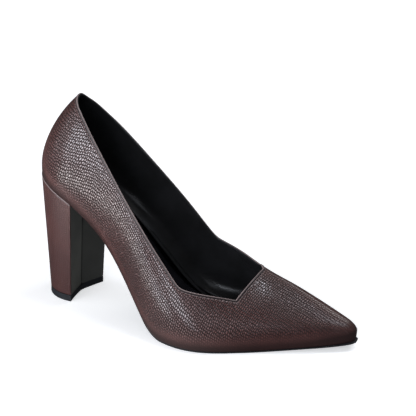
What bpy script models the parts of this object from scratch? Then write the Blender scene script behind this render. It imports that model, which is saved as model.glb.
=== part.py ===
"""Pointed pump on a tall block heel, right foot.

Sizes are in millimetres in the shoe's own axes: X from the back of the counter to the toe, +Y to the
medial side, -Y to the lateral side, Z up from the floor. The finished objects are in metres.
"""

import bmesh
import bpy
import numpy as np

MM = 0.001
LATERAL, MEDIAL = -1, 1
GAP = 0.3

# Main sizes of the last
LENGTH = 235.0
HEEL_CENTRE = 27.0
HEEL_REACH = 25.5
TOE_ROUNDING = 8.0
TIP_STOP = 0.3
RIB_SKEW = {LATERAL: 18.5, MEDIAL: 4.0}
COUNTER_LEAN = 0.0223
LEAN_POWER = 1.6
LEAN_FADE = (40.0, 140.0)
WALL = 1.8

# Throat and topline
COLLAR_TOP = 151.8
COLLAR_BLEND = 14.0
THROAT_X = 166.7
THROAT_BOW = 0.5
THROAT_LAG = 0.9
CORNER_LAG = {LATERAL: 1.1, MEDIAL: 9.2}
BOW_RUN = 20.0
LAG_RUN = 60.0
CORNER_ROUNDING = 3.0

# Sole and insole
SOLE_THICKNESS = 1.0
TREAD = SOLE_THICKNESS + GAP
SOLE_PROUD = 0.2
TOE_LEDGE = 1.1
WAIST_TUCK = 1.2
WAIST_END = (92.0, 118.0)
TOE_END = (200.0, 232.0)
INSOLE_THICKNESS = 3.0
INSOLE_INSET = 2.3

# Heel
LIFT_HEIGHT = 4.7
COVER_THICKNESS = 1.2
COVER_PROUD = 0.7
BASE_CENTRE = (28.0, -0.5)
BASE_REACH = 19.4
BASE_HALF = 18.6
BREAST_X = {LATERAL: 32.5, MEDIAL: 38.5}
BASE_BREAST_X = {LATERAL: 31.4, MEDIAL: 38.7}
BREAST_DEPTH = 5.0
BREAST_CREASE = 1.15

# Points on each surface: round the heel, along the foot, towards the tip and across
UPPER_ROUND, UPPER_ALONG, UPPER_TIP = 10, 33, 17
ROWS_BELOW, ROWS_ABOVE, ROWS_OVER = 5, 7, 8
SOLE_ROUND, SOLE_ALONG, SOLE_TIP, SOLE_ACROSS = 9, 34, 6, 11
BLOCK_ROUND, COVER_ROUND, HEEL_FRONT, HEEL_ACROSS = 8, 12, 4, 13
UPPER_CROWDING = 1.7
SOLE_CROWDING = 1.5
TOE_RUN = 12.0
INSOLE_TIP_STOP = 0.2
SOLE_START_X = 46.0
BACK_FLAT = 0.1
EDGE_SOFTENING = 2.0
TOPLINE_STEPS = 40
TOPLINE_RANGE = (0.01, 0.98)
MERGE = 0.01
SHARP_ANGLE = 40.0


def table(names, rows):
    """Columns of numbers by name, one row for each section of the shoe."""
    return dict(zip(names.split(), np.array(rows, float).T))


# Feather edge in plan: centre line and half width
FEATHER = table("x axis half", [
    (27, -0.2, 23.8),
    (50, -1.2, 22.8),
    (75, -4.2, 24.2),
    (100, -7.8, 30.6),
    (118, -8.6, 36.2),
    (135, -6.9, 38.5),
    (150, -3.8, 36.8),
    (165, -0.4, 32.2),
    (185, 2.9, 24.8),
    (205, 5.6, 17.2),
    (221, 7.7, 10.8),
    (235, 10.0, 0.0),
])
# Height of the feather edge, from heel seat through the arch to the toe spring
SEAT = table("x lateral medial", [
    (0, 92.6, 92.6),
    (27, 81.5, 82.5),
    (45, 69.0, 72.0),
    (62, 53.3, 59.0),
    (76, 35.8, 45.0),
    (88, 19.6, 31.5),
    (98, 7.6, 20.0),
    (108, 1.9, 10.4),
    (120, 1.2, 3.6),
    (135, 1.2, 1.2),
    (165, 1.2, 1.2),
    (200, 3.4, 3.4),
    (236, 7.1, 7.1),
])
# Widest line of the upper: how far outside the feather edge, and how far above it
BULGE = table("x lateral medial rise", [
    (0, 0.5, 0.5, 9),
    (27, 2.8, 3.0, 14),
    (55, 4.8, 5.6, 21),
    (80, 5.6, 7.4, 24),
    (100, 4.6, 7.4, 22),
    (120, 3.2, 5.0, 15),
    (140, 2.8, 3.4, 12),
    (160, 2.6, 2.8, 13),
    (190, 2.2, 2.2, 15),
    (218, 1.4, 1.4, 11.5),
    (236, 0.2, 0.2, 6),
])
# Ridge of the last: real along the vamp, a guide for the side walls behind the throat
CREST = table("x y z fullness", [
    (27, 0, 162, 1.7),
    (55, 0, 157, 1.75),
    (80, -2, 140, 1.85),
    (100, -1.5, 115, 1.9),
    (120, 0.5, 90, 1.8),
    (140, 3.4, 66, 1.65),
    (163, 6, 48.7, 1.42),
    (185, 7.4, 39.7, 1.44),
    (205, 8.4, 30.9, 1.5),
    (221, 9.3, 23.4, 1.66),
    (236, 10, 17.0, 2.0),
])
# Top edge of the quarters in side view, down to the kink where the throat side begins
QUARTER = table("x lateral medial", [
    (24, 151.8, 149.4),
    (27, 150.4, 146.2),
    (34, 145.8, 138.4),
    (44, 134.2, 129.3),
    (54, 121.6, 120.7),
    (71, 100.4, 105.2),
    (88, 80.0, 89.0),
    (105, 60.0, 71.4),
    (122, 41.0, 52.2),
    (139, 19.8, 33.2),
])
# Straight throat sides: height at the kink and at the throat corner
THROAT_SIDE = table("x lateral medial", [
    (122, 41.4, 51.5),
    (165, 32.8, 42.3),
])


def spline(x_rows, y_rows, x, level_start=False):
    """Natural cubic curve through the rows, or one that starts level."""
    step = np.diff(x_rows)
    slope = np.diff(y_rows) / step
    count = len(x_rows)
    system = np.eye(count)
    change = np.zeros(count)
    for i in range(1, count - 1):
        system[i, i - 1 : i + 2] = step[i - 1], 2 * (step[i - 1] + step[i]), step[i]
        change[i] = 6 * (slope[i] - slope[i - 1])
    if level_start:
        system[0, :2] = 2 * step[0], step[0]
        change[0] = 6 * slope[0]
    bend = np.linalg.solve(system, change)
    x = np.clip(x, x_rows[0], x_rows[-1])
    i = np.clip(np.searchsorted(x_rows, x) - 1, 0, count - 2)
    left = x - x_rows[i]
    right = x_rows[i + 1] - x
    cubic = (bend[i] * right**3 + bend[i + 1] * left**3) / (6 * step[i])
    start = (y_rows[i] / step[i] - bend[i] * step[i] / 6) * right
    end = (y_rows[i + 1] / step[i] - bend[i + 1] * step[i] / 6) * left
    return cubic + start + end


def side_column(rows, side, x):
    """A column that has its own values on the lateral and the medial side."""
    return spline(rows["x"], rows["lateral" if side == LATERAL else "medial"], x)


def fade(x, start, end):
    """1 before start, 0 after end, smooth between."""
    step = np.clip((x - start) / (end - start), 0, 1)
    return 1 - step * step * (3 - 2 * step)


def edge(side, station, grow):
    """Plan place of the feather edge moved outwards by grow; stations behind the heel centre go round."""
    turn = np.clip(1 - station / HEEL_CENTRE, 0, 1)
    along = np.clip(station, HEEL_CENTRE, LENGTH)
    axis = spline(FEATHER["x"], FEATHER["axis"], along, level_start=True)
    squared = spline(FEATHER["x"], FEATHER["half"] ** 2, along, level_start=True)
    half = np.sqrt(np.maximum(squared, 0))
    half = half + grow * half / (half + EDGE_SOFTENING)
    toe = 1 - fade(along, LENGTH - TOE_RUN, LENGTH)
    x = along - (HEEL_REACH + grow) * turn + grow * toe
    y = axis + side * half * np.sqrt(1 - turn**2)
    return x, y


def seat(x, y):
    """Height of the shoe's bottom, level across the tread and tilted across the arch."""
    along = np.clip(x, HEEL_CENTRE, LENGTH - TIP_STOP)
    lateral = edge(LATERAL, along, 0)[1]
    medial = edge(MEDIAL, along, 0)[1]
    across = np.clip((y - lateral) / (medial - lateral), 0, 1)
    low = np.maximum(side_column(SEAT, LATERAL, x), TREAD)
    high = np.maximum(side_column(SEAT, MEDIAL, x), TREAD)
    return low + (high - low) * across


def slanted(side, station):
    """Where a rib's foot stands: the lateral end lags and the medial end leads, as the ball line slants."""
    part = np.clip((station - HEEL_CENTRE) / (LENGTH - HEEL_CENTRE), 0, 1)
    return station + side * RIB_SKEW[side] * np.sin(np.pi * part) ** 2


def topline(side, x, y):
    """Height of the top edge: level at the centre back, then the quarter, rounded into the throat side."""
    quarter = side_column(QUARTER, side, x)
    back = fade(abs(y), 0, COLLAR_BLEND) * fade(x, HEEL_CENTRE, 2 * HEEL_CENTRE)
    quarter = quarter + (COLLAR_TOP - quarter) * back
    rows = THROAT_SIDE["lateral" if side == LATERAL else "medial"]
    run = (x - THROAT_SIDE["x"][0]) / (THROAT_SIDE["x"][1] - THROAT_SIDE["x"][0])
    throat = rows[0] + (rows[1] - rows[0]) * run
    return 0.5 * (quarter + throat + np.sqrt((quarter - throat) ** 2 + CORNER_ROUNDING**2))


def bowed(side, stations, part):
    """Stations near the throat, from its corner (0) to the crest (1), moved to make it straight."""
    shift = THROAT_BOW * np.sin(part * np.pi) - THROAT_LAG * part - CORNER_LAG[side] * (1 - part)
    behind = 1 - fade(stations, THROAT_X - LAG_RUN, THROAT_X)
    return stations + shift * behind * fade(stations, THROAT_X, THROAT_X + BOW_RUN)


class Rib:
    """Half sections of the last on one side: feather edge, widest line and crest at each station."""

    def __init__(self, side, stations):
        place = slanted(side, stations)
        self.side = side
        self.foot = edge(side, place, 0)
        self.foot_z = seat(*self.foot)
        self.wide = edge(side, place, side_column(BULGE, side, place))
        self.wide_z = self.foot_z + spline(BULGE["x"], BULGE["rise"], place)
        ridge = np.maximum(stations, HEEL_CENTRE)
        self.crest = ridge, spline(CREST["x"], CREST["y"], ridge)
        nose = np.clip((ridge - LENGTH + TOE_ROUNDING) / TOE_ROUNDING, 0, 1)
        height = spline(CREST["x"], CREST["z"], ridge) - self.wide_z
        self.height = height * np.sqrt(1 - nose**2)
        self.power = 2 / spline(CREST["x"], CREST["fullness"], ridge)
        self.lean = COUNTER_LEAN * fade(stations, *LEAN_FADE)

    def below(self, part):
        """Points from the feather edge (0) to the widest line (1)."""
        angle = part * np.pi / 2
        x, y = (f + (w - f) * np.sin(angle) for f, w in zip(self.foot, self.wide))
        return np.stack([x, y, self.foot_z + (self.wide_z - self.foot_z) * (1 - np.cos(angle))], -1)

    def above(self, angle):
        """Points from the widest line (angle 0) to the crest (a quarter turn)."""
        inward = 1 - np.cos(angle) ** self.power
        rise = self.height * np.sin(angle) ** self.power
        x, y = (w + (c - w) * inward for w, c in zip(self.wide, self.crest))
        return np.stack([x + self.lean * rise**LEAN_POWER, y, self.wide_z + rise], -1)

    def top_angle(self):
        """Angle at which each rib meets the topline."""
        angle = np.full_like(self.height, np.pi / 4)
        for _ in range(TOPLINE_STEPS):
            point = self.above(angle)
            rise = topline(self.side, point[:, 0], point[:, 1]) - self.wide_z
            part = np.clip(rise / self.height, *TOPLINE_RANGE)
            angle = 0.5 * (angle + np.arcsin(part ** (1 / self.power)))
        return angle


def material(name, colour, roughness):
    made = bpy.data.materials.new(name)
    made.use_nodes = True
    shader = made.node_tree.nodes["Principled BSDF"]
    shader.inputs["Base Color"].default_value = (*colour, 1)
    shader.inputs["Roughness"].default_value = roughness
    shader.inputs["Metallic"].default_value = 0
    return made


def add_object(name, mesh, finish, parent):
    """One named object for a piece, shaded smooth except at its corners."""
    mesh.materials.append(finish)
    mesh.shade_smooth()
    mesh.set_sharp_from_angle(angle=np.radians(SHARP_ANGLE))
    piece = bpy.data.objects.new(name, mesh)
    piece.parent = parent
    bpy.context.scene.collection.objects.link(piece)
    return piece


def mesh_of(name, work):
    mesh = bpy.data.meshes.new(name)
    work.to_mesh(mesh)
    work.free()
    return mesh


def grid_faces(work, grid, flip):
    """Quads over a grid of vertices."""
    for low, high in zip(grid, grid[1:]):
        for i in range(len(low) - 1):
            corners = [low[i], low[i + 1], high[i + 1], high[i]]
            work.faces.new(corners[::-1] if flip else corners)


def vertex_grid(work, points):
    return [[work.verts.new(point * MM) for point in row] for row in points]


def block_between(name, bottom, top):
    """Closed solid between two grids of points with the same rows and columns."""
    work = bmesh.new()
    low = vertex_grid(work, bottom)
    high = vertex_grid(work, top)
    grid_faces(work, low, flip=False)
    grid_faces(work, high, flip=True)
    for lower, upper in ((low, high), (list(zip(*low)), list(zip(*high)))):
        grid_faces(work, [lower[0], upper[0]], flip=False)
        grid_faces(work, [lower[-1], upper[-1]], flip=False)
    bmesh.ops.recalc_face_normals(work, faces=work.faces)
    return mesh_of(name, work)


def upper_stations():
    """Rib stations: round the heel, along the quarters, and closer together towards the tip."""
    heel = HEEL_CENTRE * (1 - np.cos(np.linspace(0, np.pi / 2, UPPER_ROUND)))
    quarter = np.linspace(HEEL_CENTRE, THROAT_X, UPPER_ALONG)[1:]
    run = np.linspace(1, 0, UPPER_TIP)[1:] ** UPPER_CROWDING
    vamp = LENGTH - TIP_STOP - (LENGTH - TIP_STOP - THROAT_X) * run
    return np.concatenate([heel, quarter, vamp])


def make_upper(finish, parent):
    """Shell from the feather edge to the topline, and over the crest in front of the throat."""
    below = np.linspace(0, 1, ROWS_BELOW)
    above = np.linspace(0, 1, ROWS_ABOVE)[1:]
    over = np.linspace(0, 1, ROWS_OVER)[1:]
    stations = upper_stations()
    throat = int(np.argmin(abs(stations - THROAT_X)))
    work = bmesh.new()
    nose = {}
    for side in (LATERAL, MEDIAL):
        rib = Rib(side, bowed(side, stations, 0))
        shoulder = rib.top_angle()
        shoulder[throat:] = shoulder[throat]
        wall = [rib.below(part) for part in below] + [rib.above(part * shoulder) for part in above]
        turns = [shoulder + part * (np.pi / 2 - shoulder) for part in over]
        vamp = [Rib(side, bowed(side, stations, part)).above(turn) for part, turn in zip(over, turns)]
        rows = vertex_grid(work, wall)
        front = vertex_grid(work, [row[throat:] for row in vamp])
        grid_faces(work, rows, flip=side == MEDIAL)
        grid_faces(work, [rows[-1][throat:], *front], flip=side == MEDIAL)
        nose[side] = [row[-1] for row in rows + front]
    grid_faces(work, list(zip(nose[LATERAL], nose[MEDIAL])), flip=False)
    bmesh.ops.remove_doubles(work, verts=work.verts, dist=MERGE * MM)
    piece = add_object("upper", mesh_of("upper", work), finish, parent)
    wall = piece.modifiers.new("wall", "SOLIDIFY")
    wall.thickness = WALL * MM
    wall.offset = -1
    wall.use_even_offset = True


def bottom_grid(lateral, medial, lift):
    """Points across the shoe's bottom between two edges, raised by lift."""
    across = np.linspace(0, 1, SOLE_ACROSS)[None, :]
    x, y = (a[:, None] + (b - a)[:, None] * across for a, b in zip(lateral, medial))
    return np.stack([x, y, seat(x, y) + lift], -1)


def make_insole(finish, parent):
    heel = HEEL_CENTRE * (1 - np.cos(np.linspace(BACK_FLAT, np.pi / 2, SOLE_ROUND)))
    along = np.linspace(HEEL_CENTRE, LENGTH - TOE_RUN, SOLE_ALONG)[1:]
    toe = LENGTH - TOE_RUN * np.linspace(1, INSOLE_TIP_STOP, SOLE_TIP)[1:] ** SOLE_CROWDING
    stations = np.concatenate([heel, along, toe])
    lateral, medial = (edge(side, slanted(side, stations), -INSOLE_INSET) for side in (LATERAL, MEDIAL))
    bottom = bottom_grid(lateral, medial, 0)
    top = bottom_grid(lateral, medial, INSOLE_THICKNESS)
    add_object("insole", block_between("insole", bottom, top), finish, parent)


def breast_hollow(across):
    """Depth of the heel's front face behind its corners; across runs from -1 to 1."""
    return BREAST_DEPTH * (1 - abs(across) ** BREAST_CREASE)


def make_outsole(finish, parent):
    """From the heel breast to the toe: tucked in along the waist, proud of the upper at the forefoot."""
    along = np.linspace(SOLE_START_X, LENGTH - TOE_RUN, SOLE_ALONG)
    toe = LENGTH - TOE_RUN * np.linspace(1, 0, SOLE_TIP)[1:] ** SOLE_CROWDING - TIP_STOP
    stations = np.concatenate([along, toe])
    proud = SOLE_PROUD - (SOLE_PROUD + WAIST_TUCK) * fade(stations, *WAIST_END)
    proud = proud + TOE_LEDGE * (1 - fade(stations, *TOE_END))
    ends = [edge(side, slanted(side, stations), proud) for side in (LATERAL, MEDIAL)]
    for i, side in enumerate((LATERAL, MEDIAL)):
        x, y = edge(side, np.array([BREAST_X[side]]), proud[0])
        ends[i] = np.append(x + GAP, ends[i][0]), np.append(y, ends[i][1])
    top = bottom_grid(*ends, -GAP)
    top[0, :, 0] -= breast_hollow(np.linspace(-1, 1, SOLE_ACROSS))
    top[0, :, 2] = seat(top[0, :, 0], top[0, :, 1]) - GAP
    bottom = top - (0, 0, SOLE_THICKNESS)
    add_object("outsole", block_between("outsole", bottom, top), finish, parent)


def heel_run(start, count):
    """Steps round the heel: -1 at the back, 0 at the side, 1 at the breast corner."""
    round_back = -np.cos(np.linspace(start, np.pi / 2, count))
    return np.concatenate([round_back, np.linspace(0, 1, HEEL_FRONT)[1:]])


def heel_ring(side, run, grow, base):
    """Plan place on the heel's outline, at its base or at the seat."""
    turn = np.clip(-run, 0, 1)
    ahead = np.clip(run, 0, 1)
    if not base:
        station = HEEL_CENTRE * (1 - turn) + (BREAST_X[side] - HEEL_CENTRE) * ahead
        return edge(side, station, grow)
    x = BASE_CENTRE[0] - (BASE_REACH + grow) * turn + (BASE_BREAST_X[side] - BASE_CENTRE[0]) * ahead
    y = BASE_CENTRE[1] + side * (BASE_HALF + grow) * np.sqrt(1 - turn**2)
    return x, y


def heel_grid(grow, base):
    """Plan grid over the heel from its back to the hollow breast."""
    run = heel_run(BACK_FLAT, BLOCK_ROUND)
    across = np.linspace(0, 1, HEEL_ACROSS)[None, :]
    ends = [heel_ring(side, run, grow, base) for side in (LATERAL, MEDIAL)]
    x, y = (a[:, None] + (b - a)[:, None] * across for a, b in zip(*ends))
    x = x - breast_hollow(2 * across - 1) * np.clip(run, 0, 1)[:, None] ** 2
    return x, y


def at_height(plan, z):
    x, y = plan
    return np.stack([x, y, np.broadcast_to(z, x.shape)], -1)


def make_heel(finishes, parent):
    """Block with its hollow breast, the leather skin round it, and the top lift under it."""
    core = COVER_PROUD - COVER_THICKNESS - GAP
    top = heel_grid(core, base=False)
    base = LIFT_HEIGHT + GAP
    block = block_between(
        "heel_block", at_height(heel_grid(core, base=True), base), at_height(top, seat(*top) - GAP)
    )
    add_object("heel_block", block, finishes["breast"], parent)
    run = heel_run(0, COVER_ROUND)
    layers = {}
    for base_ring in (True, False):
        rings = []
        for grow in (core + GAP, COVER_PROUD):
            lateral, medial = (heel_ring(side, run, grow, base_ring) for side in (LATERAL, MEDIAL))
            rings.append([np.concatenate([a[::-1], b[1:]]) for a, b in zip(lateral, medial)])
        plan = [np.stack([ring[i] for ring in rings], 1) for i in (0, 1)]
        layers[base_ring] = at_height(plan, base if base_ring else seat(*plan) - GAP)
    cover = block_between("heel_cover", layers[True], layers[False])
    add_object("heel_cover", cover, finishes["leather"], parent)
    plan = heel_grid(COVER_PROUD, base=True)
    lift = block_between("top_lift", at_height(plan, 0), at_height(plan, LIFT_HEIGHT))
    add_object("top_lift", lift, finishes["rubber"], parent)


def centre_on_floor(root):
    """Moves the shoe so that the middle of its box on the floor is the origin."""
    bpy.context.view_layer.update()
    corners = np.array([piece.matrix_world @ v.co for piece in root.children for v in piece.data.vertices])
    low, high = corners.min(axis=0), corners.max(axis=0)
    root.location = (-(low[0] + high[0]) / 2, -(low[1] + high[1]) / 2, -low[2])


def main():
    for old in list(bpy.data.objects):
        bpy.data.objects.remove(old)
    root = bpy.data.objects.new("shoe", None)
    bpy.context.scene.collection.objects.link(root)
    finishes = {
        "leather": material("brown_leather", (0.085, 0.045, 0.040), 0.42),
        "insole": material("black_lining", (0.006, 0.006, 0.007), 0.25),
        "sole": material("black_sole", (0.012, 0.012, 0.013), 0.55),
        "breast": material("black_breast", (0.020, 0.020, 0.018), 0.5),
        "rubber": material("black_rubber", (0.010, 0.011, 0.013), 0.6),
    }
    make_upper(finishes["leather"], root)
    make_insole(finishes["insole"], root)
    make_outsole(finishes["sole"], root)
    make_heel(finishes, root)
    centre_on_floor(root)


main()
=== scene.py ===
"""What shows of a pointed block-heel pump in brown embossed leather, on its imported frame.

Shapes are worked out in millimetres in the shoe's own axes: X from the back of the counter to the toe,
+Y to the medial side, -Y to the lateral side, Z up from the floor.
"""

import bmesh
import bpy
import numpy as np
from mathutils import Matrix, Vector
from mathutils.kdtree import KDTree


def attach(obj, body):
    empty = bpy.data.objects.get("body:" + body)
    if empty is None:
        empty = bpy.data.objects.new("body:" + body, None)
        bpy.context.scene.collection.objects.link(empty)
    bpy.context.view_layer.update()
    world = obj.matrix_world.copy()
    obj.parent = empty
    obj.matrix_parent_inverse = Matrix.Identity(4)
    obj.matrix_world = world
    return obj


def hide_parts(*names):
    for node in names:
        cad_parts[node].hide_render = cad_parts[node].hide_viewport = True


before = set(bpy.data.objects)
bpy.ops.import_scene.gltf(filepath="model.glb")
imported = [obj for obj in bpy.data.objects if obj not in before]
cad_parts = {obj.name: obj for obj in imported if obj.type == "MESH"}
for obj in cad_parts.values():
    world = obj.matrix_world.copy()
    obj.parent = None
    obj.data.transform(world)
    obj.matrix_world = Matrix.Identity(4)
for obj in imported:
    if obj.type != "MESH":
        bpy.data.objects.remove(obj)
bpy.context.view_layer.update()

MM = 0.001
LATERAL, MEDIAL = -1, 1
GAP = 0.3
# Where the shoe's own axes start in the row frame
COUNTER_BACK = np.array([-118.4, 6.42, 0.0])

# Main sizes of the last
LENGTH = 235.0
HEEL_CENTRE = 27.0
HEEL_REACH = 25.5
TOE_ROUNDING = 8.0
TOE_RUN = 12.0
TIP_STOP = 0.3
EDGE_SOFTENING = 2.0
RIB_SKEW = {LATERAL: 18.5, MEDIAL: 4.0}
COUNTER_LEAN = 0.0223
LEAN_POWER = 1.6
LEAN_FADE = (40.0, 140.0)
WALL = 1.8
MARGIN_PART = 0.7

# Throat, topline and its folded edge
COLLAR_TOP = 151.8
COLLAR_BLEND = 14.0
THROAT_X = 166.7
THROAT_BOW = 0.5
THROAT_LAG = 0.9
CORNER_LAG = {LATERAL: 1.1, MEDIAL: 9.2}
BOW_RUN = 20.0
LAG_RUN = 60.0
CORNER_ROUNDING = 3.0
TOPLINE_STEPS = 40
TOPLINE_RANGE = (0.01, 0.98)
FOLD_RADIUS = 0.8
FOLD_WIDTH = 2.0
FOLD_RISE = 0.22
FOLD_RUN_OUT = 0.6
FOLD_TURNS = (20, 40, 60, 80)
LINING_FOLD_RADIUS = FOLD_RADIUS - 0.08
LINING_TURNS = (30, 60, 85, 100)
STITCH_GROOVE = 0.25
GROOVE_SPREAD = 0.32
STITCH_PITCH = 2.6
STITCH_LENGTH = 2.3
STITCH_RADIUS = 0.34
STITCH_LIFT = 0.12
# Distances from the topline at which the leather has a row of points
EDGE_ROWS = np.array([0.8, 1.1, 1.4, 1.7, 2.0, 2.3, 2.7, 3.4, 5.0])
STITCH_ROW = 4
# The most of a wall's height that these rows take, and the limits of their stretch on slanting ribs
EDGE_ROOM = 0.6
SLANT_RANGE = (0.4, 1)

# Leather and lining: thickness that shows, and the margin turned in under the foot with its drop
LEATHER_SKIN = 0.6
LEATHER_MARGIN = (3.0, 0.1)
LINING_SKIN = 0.35
LINING_MARGIN = (4.0, 0.0)
LINING_DEPTH = WALL - 0.05

# Where the leather is pulled smooth, and where painted shade darkens it: by the feather edge and the fold, at
# toe, back and crest, on the heel
FOOT_SMOOTH = (3.0, 15.0)
FOLD_SMOOTH = (FOLD_WIDTH, FOLD_WIDTH + 0.5)
TOE_SMOOTH = (205.0, 232.0)
TOE_PULL = 0.2
BACK_SMOOTH = (3.0, 16.0)
BACK_PULL = 0.6
VAMP_START = (140.0, 150.0)
CREST_LATERAL = (-7.0, 3.0)
CREST_MEDIAL = (3.0, 14.0)
CREST_PULL = 0.38
HEEL_PULL = 0.6

# Sole and insole
SOLE_THICKNESS = 1.0
TREAD = SOLE_THICKNESS + GAP
SOLE_PROUD = 0.2
SOLE_ROUNDING = 0.35
TOE_LEDGE = 1.1
WAIST_TUCK = 1.2
WAIST_END = (92.0, 118.0)
TOE_END = (200.0, 232.0)
SOLE_START_X = 46.0
INSOLE_THICKNESS = 3.0
INSOLE_TRIM = 0.4
INSOLE_LIFT = 0.05
INSOLE_INSET = 2.0
INSOLE_CROWN = 1.2
CROWN_POWER = 2.5
INSOLE_ROUNDING = 0.7
INSOLE_TIP = 0.35
COVE_HEIGHT = 14.0
COVE_DEPTH = 5.5

# Heel
LIFT_HEIGHT = 4.7
LIFT_INSET = 0.1
LIFT_ROUNDING = 0.6
HEEL_BASE = LIFT_HEIGHT + GAP
COVER_THICKNESS = 1.2
COVER_PROUD = 0.7
COVER_ROUNDING = 0.5
CORE_PROUD = COVER_PROUD - COVER_THICKNESS - GAP
BASE_CENTRE = (28.0, -0.5)
BASE_REACH = 19.4
BASE_HALF = 18.6
BREAST_X = {LATERAL: 32.5, MEDIAL: 38.5}
BASE_BREAST_X = {LATERAL: 31.4, MEDIAL: 38.7}
BREAST_DEPTH = 5.0
BREAST_CREASE = 1.15
CREASE_LINE = 0.03
MEDIAL_SHADE = 0.55
BACK_FLAT = 0.1
SEAM_INSET = 0.15
SEAM_RADIUS = 0.26
SEAM_END_RADIUS = 0.05
# The heel leather counts as this far from a topline, so it has no fold or groove
PAST_FOLD = 6.0

# Points along and across the pieces
BACK_RIBS = 22
QUARTER_RIBS = 86
VAMP_RIBS = 44
VAMP_CROWDING = 1.6
ARC_STEPS = 200
RIM_STEPS = 4
INSOLE_BACK_RIBS = 14
INSOLE_RIBS = 80
INSOLE_TOE_RIBS = 6
INSOLE_COLUMNS = 25
SOLE_RIBS = 90
SOLE_TOE_RIBS = 12
SOLE_COLUMNS = 21
TIP_CROWDING = 1.5
CORE_BACK_STEPS = 16
COVER_BACK_STEPS = 24
HEEL_FRONT_STEPS = 8
HEEL_COLUMNS = 41
COVER_ROWS = 40
BEAD_SIDES = 8
STITCH_SIDES = 6
STITCH_RINGS = 4
ROUNDING_STEPS = 3
# Edges turned by more than this stay sharp or are rounded
SHARP_ANGLE = np.radians(50)
# Points closer than this become one
LEATHER_MERGE = 0.02
LINING_MERGE = 0.05
BEAD_MERGE = 0.01


def table(names, rows):
    """Columns of numbers by name, one row for each section of the shoe."""
    return dict(zip(names.split(), np.array(rows, float).T))


# Feather edge in plan: centre line and half width
FEATHER = table("x axis half", [
    (27, -0.2, 23.8),
    (50, -1.2, 22.8),
    (75, -4.2, 24.2),
    (100, -7.8, 30.6),
    (118, -8.6, 36.2),
    (135, -6.9, 38.5),
    (150, -3.8, 36.8),
    (165, -0.4, 32.2),
    (185, 2.9, 24.8),
    (205, 5.6, 17.2),
    (221, 7.7, 10.8),
    (235, 10.0, 0.0),
])
# Height of the feather edge, from heel seat through the arch to the toe spring
SEAT = table("x lateral medial", [
    (0, 92.6, 92.6),
    (27, 81.5, 82.5),
    (45, 69.0, 72.0),
    (62, 53.3, 59.0),
    (76, 35.8, 45.0),
    (88, 19.6, 31.5),
    (98, 7.6, 20.0),
    (108, 1.9, 10.4),
    (120, 1.2, 3.6),
    (135, 1.2, 1.2),
    (165, 1.2, 1.2),
    (200, 3.4, 3.4),
    (236, 7.1, 7.1),
])
# Widest line of the upper: how far outside the feather edge, and how far above it
BULGE = table("x lateral medial rise", [
    (0, 0.5, 0.5, 9),
    (27, 2.8, 3.0, 14),
    (55, 4.8, 5.6, 21),
    (80, 5.6, 7.4, 24),
    (100, 4.6, 7.4, 22),
    (120, 3.2, 5.0, 15),
    (140, 2.8, 3.4, 12),
    (160, 2.6, 2.8, 13),
    (190, 2.2, 2.2, 15),
    (218, 1.4, 1.4, 11.5),
    (236, 0.2, 0.2, 6),
])
# Ridge of the last: real along the vamp, a guide for the side walls behind the throat
CREST = table("x y z fullness", [
    (27, 0, 162, 1.7),
    (55, 0, 157, 1.75),
    (80, -2, 140, 1.85),
    (100, -1.5, 115, 1.9),
    (120, 0.5, 90, 1.8),
    (140, 3.4, 66, 1.65),
    (163, 6, 48.7, 1.42),
    (185, 7.4, 39.7, 1.44),
    (205, 8.4, 30.9, 1.5),
    (221, 9.3, 23.4, 1.66),
    (236, 10, 17.0, 2.0),
])
# Top edge of the quarters in side view, down to the kink where the throat side begins
QUARTER = table("x lateral medial", [
    (24, 151.8, 149.4),
    (27, 150.4, 146.2),
    (34, 145.8, 138.4),
    (44, 134.2, 129.3),
    (54, 121.6, 120.7),
    (71, 100.4, 105.2),
    (88, 80.0, 89.0),
    (105, 60.0, 71.4),
    (122, 41.0, 52.2),
    (139, 19.8, 33.2),
])
# Straight throat sides: height at the kink and at the throat corner
THROAT_SIDE = table("x lateral medial", [
    (122, 41.4, 51.5),
    (165, 32.8, 42.3),
])
# Soft creases in side view, from one end to the other; a ridge has a negative depth
CREASES = table("side from_x from_z to_x to_z depth width", [
    (LATERAL, 118, 26, 140, 9, 0.35, 5.0),
    (LATERAL, 134, 27, 152, 11, 0.25, 4.0),
    (LATERAL, 58, 78, 98, 34, 0.45, 8.0),
    (LATERAL, 168, 30, 186, 22, 0.25, 3.5),
    (LATERAL, 176, 17, 226, 12, -0.35, 4.5),
    (LATERAL, 170, 52, 180, 24, -0.5, 7.0),
    (MEDIAL, 120, 30, 142, 11, 0.35, 5.0),
    (MEDIAL, 58, 84, 100, 44, 0.45, 8.0),
    (MEDIAL, 168, 34, 188, 24, 0.25, 3.5),
])
# Creases have their full depth where the leather faces sideways at least this much
CREASE_FACING = 0.5

# Pressed grain: cells along and across the cut, their depth, the rows' wander; noises by scale and detail
CELL_ALONG = 1.5
CELL_ACROSS = 2.2
GRAIN_DEPTH = 0.4
ROW_WANDER = (3.2, 3.2, 0)
WANDER_NOISE = (90.0, 2.0)
CELL_UNEVENNESS = 0.5
CELL_SLOPE = 0.46
CREVICE_POWER = 0.9
FINE_NOISE = (2.6, 3.0)
FINE_PART = 0.35
MOTTLE_NOISE = (38.0, 4.0)
GRAIN_LOSS = 0.85

# Brown leather: its tones, with painted shade in the pulled bands, the crevices and the stitch groove and a
# painted highlight on the fold, how strongly they show, and their distances from the edge of the fold
BODY_TONES = ((0.110, 0.0390, 0.0335), (0.141, 0.0505, 0.0433))
BODY_MOTTLE = (0.35, 0.68)
# Painted shade: the near-black tone that the pulled bands are darkened towards, and how much
PULLED_SHADE_TONE = (0.010, 0.005, 0.0045)
PULLED_SHADE_PART = 0.8
# Painted shade in the grain's crevices
CREVICE_SHADE_TONE = (0.006, 0.003, 0.003)
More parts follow.
